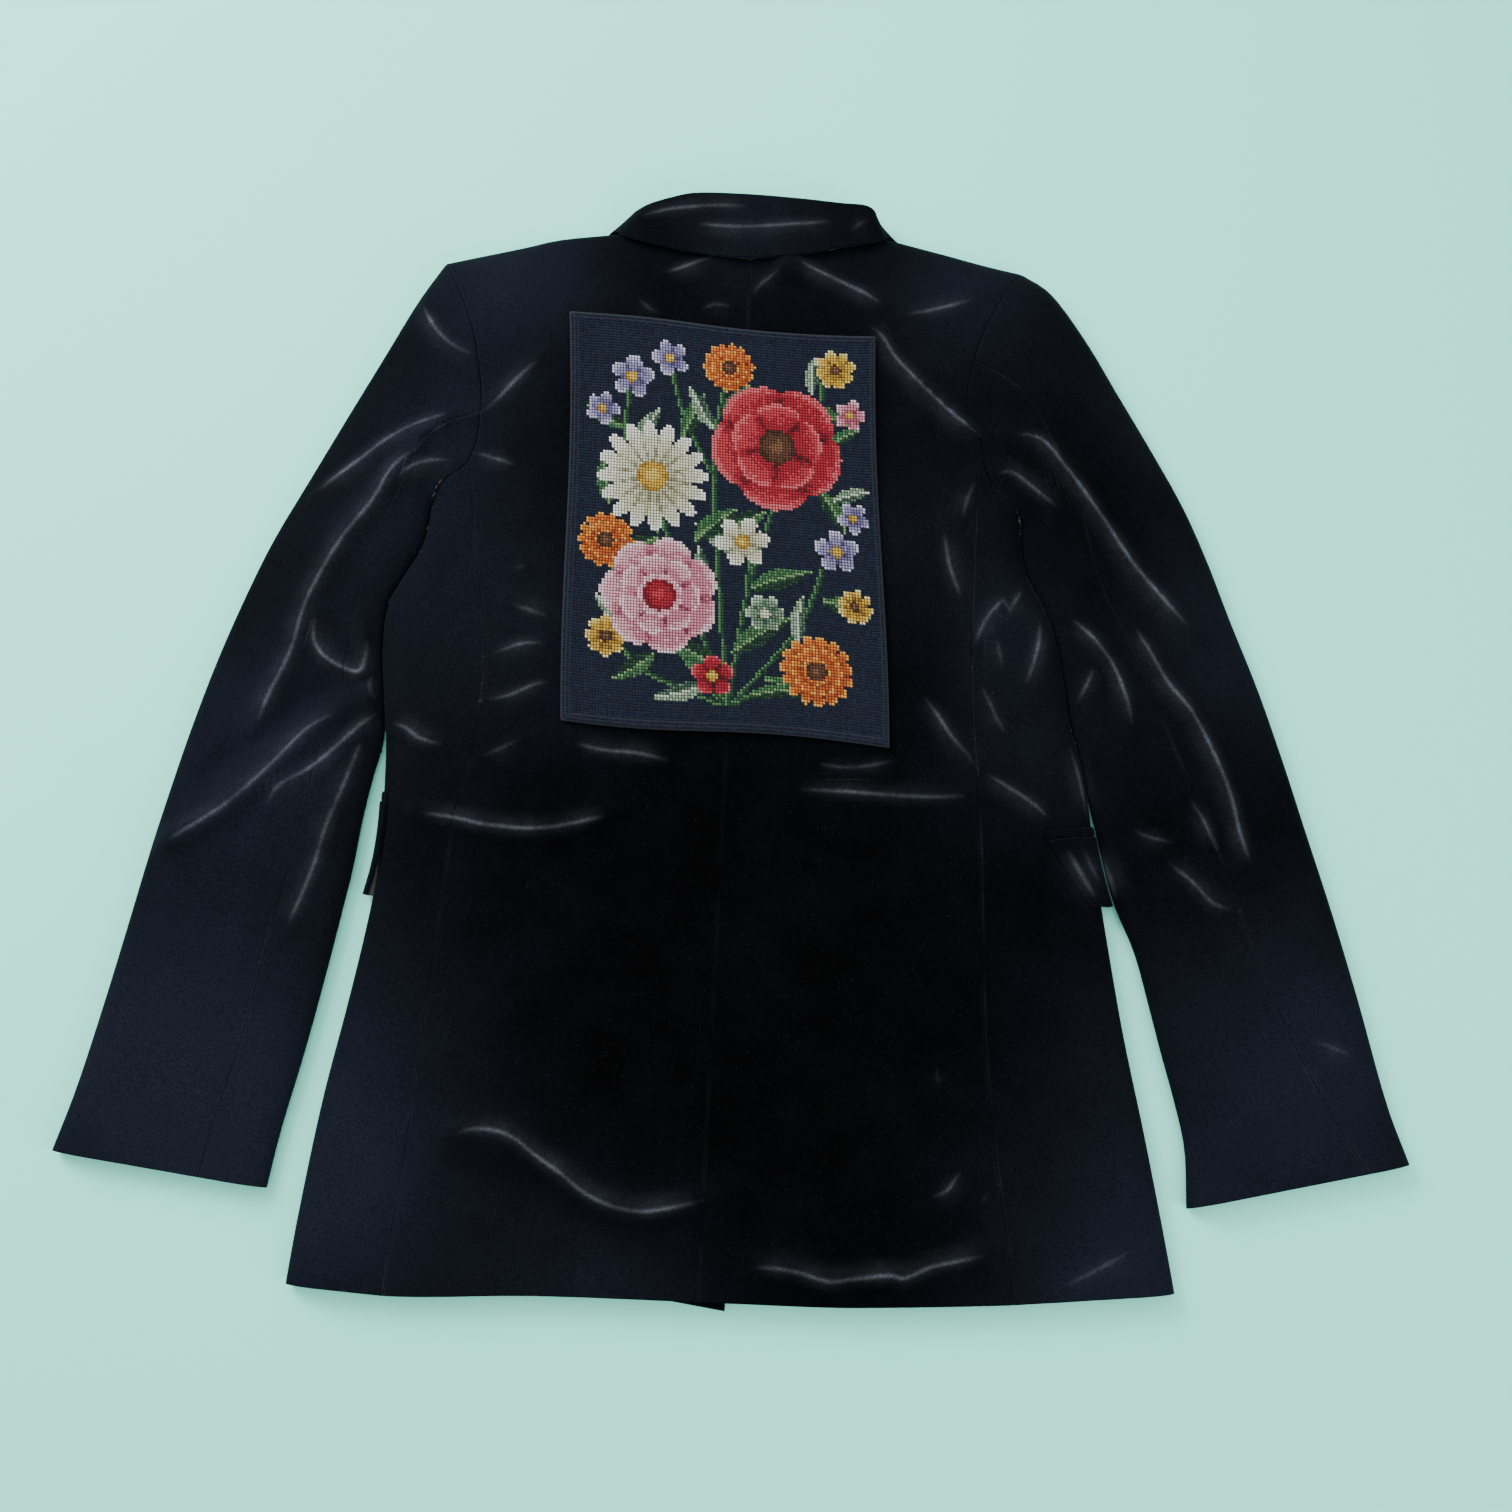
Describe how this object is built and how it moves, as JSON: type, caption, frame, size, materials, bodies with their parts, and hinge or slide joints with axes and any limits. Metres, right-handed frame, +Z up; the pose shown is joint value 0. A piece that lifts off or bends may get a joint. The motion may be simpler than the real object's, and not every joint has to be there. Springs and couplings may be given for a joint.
{
  "type": "velvet blazer, laid flat on its front",
  "caption": "Woman's tailored black velvet blazer lying face down, with a square of floral needlepoint sewn on the upper back.",
  "frame": {"origin": "middle of the blazer's outline, on the surface that it lies on", "axes": "+Y from the hem towards the collar, +Z up out of the back, +X towards the wearer's right sleeve"},
  "size_m": [0.828, 0.728, 0.0239],
  "materials": {
    "velvet": "black cotton velvet with a blue-grey sheen",
    "needlepoint": "wool stitches on canvas, flowers on a dark navy ground",
    "button": "satin black"
  },
  "bodies": {
    "root": {"back_left": "velvet", "back_right": "velvet", "side_left": "velvet", "side_right": "velvet", "front_left": "velvet", "front_right": "velvet", "lapel_left": "velvet", "lapel_right": "velvet", "upper_sleeve_left": "velvet", "upper_sleeve_right": "velvet", "under_sleeve_left": "velvet", "under_sleeve_right": "velvet", "collar": "velvet", "pocket_flap_left": "velvet", "pocket_flap_right": "velvet", "pocket_welt_left": "velvet", "pocket_welt_right": "velvet", "needlepoint_panel": "needlepoint", "front_button": "button"}
  },
  "joints": []
}
